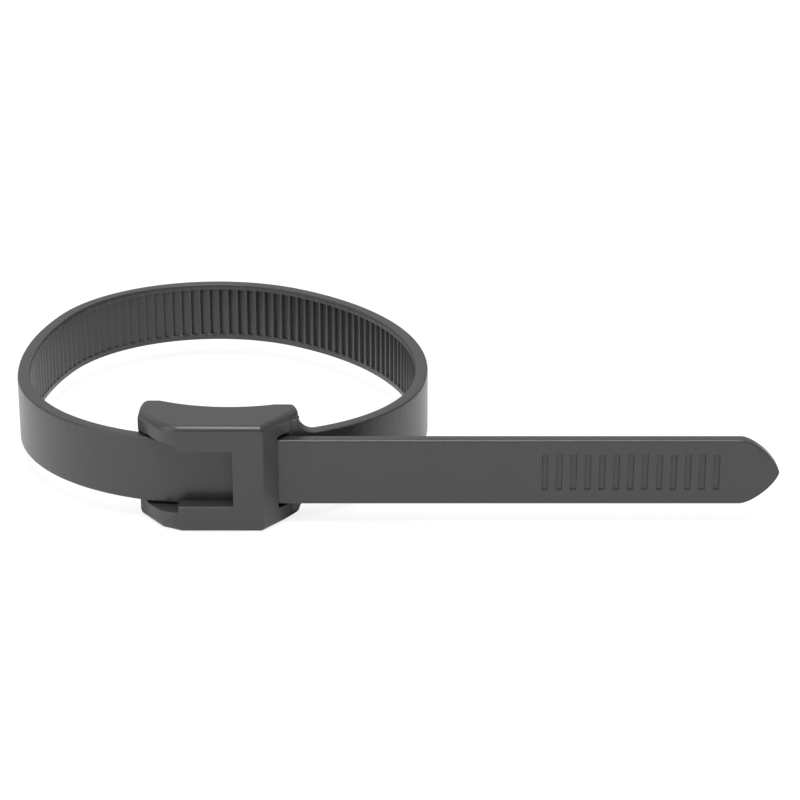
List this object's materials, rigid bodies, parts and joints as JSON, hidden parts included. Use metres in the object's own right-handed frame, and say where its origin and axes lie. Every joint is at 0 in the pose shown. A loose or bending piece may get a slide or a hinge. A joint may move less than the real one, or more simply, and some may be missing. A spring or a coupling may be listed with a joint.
{
  "type": "cable tie",
  "caption": "Black nylon cable tie with a low-profile in-line head, closed into a loop, its toothed strap pulled through the head.",
  "frame": {"origin": "axis of the rounded back of the loop, half way across the strap's width", "axes": "+X along the free end, towards its tip; +Y from the head to the back of the loop; +Z across the strap's width, up as the tie lies on a table"},
  "size_m": [0.1034, 0.0688, 0.0148],
  "materials": {
    "nylon": "fine satin, black"
  },
  "bodies": {
    "root": {"cable_tie": "nylon"}
  },
  "joints": []
}
